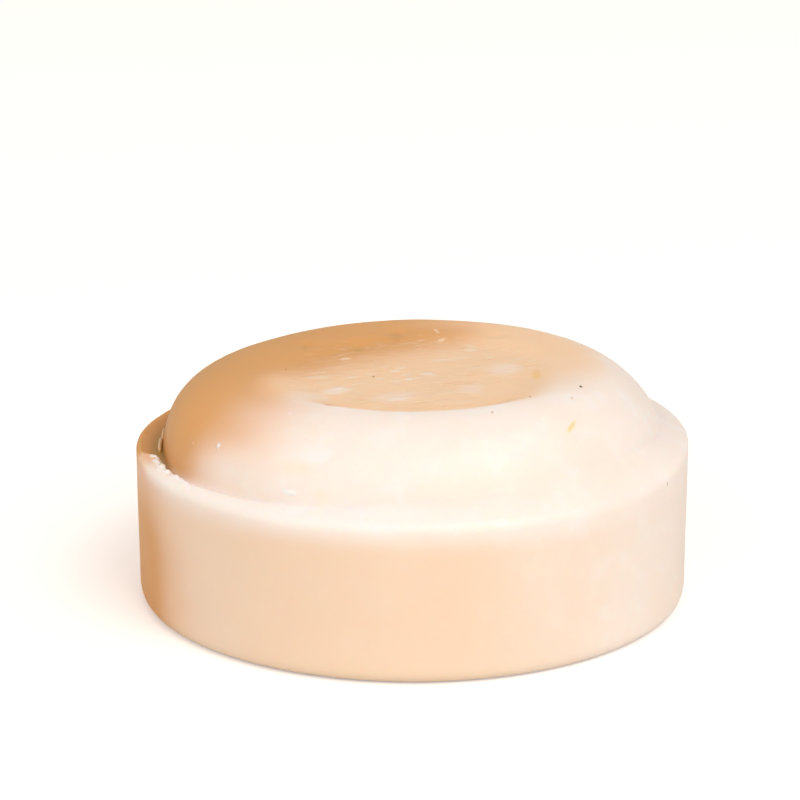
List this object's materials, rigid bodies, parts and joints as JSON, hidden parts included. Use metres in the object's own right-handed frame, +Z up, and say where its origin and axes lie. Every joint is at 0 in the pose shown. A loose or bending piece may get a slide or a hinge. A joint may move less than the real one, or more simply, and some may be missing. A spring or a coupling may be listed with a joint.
{
  "type": "bar of soap",
  "caption": "Round bar of toilet soap: a low drum with a flat underside, and a narrow ledge round a domed cap with a shallow dished panel in its crown.",
  "frame": {"origin": "centre of the flat underside, on the surface the bar rests on", "axes": "+Z up along the bar's axis, -Y towards the front, +X to the right seen from the front and towards the high side of the leaning top"},
  "size_m": [0.07, 0.07, 0.03],
  "materials": {
    "soap": "hard white toilet soap, pressed: cream to pale peach, slightly translucent, with a waxy satin surface, faint mottling and fine scrape marks"
  },
  "bodies": {
    "root": {"soap_bar": "soap"}
  },
  "joints": []
}
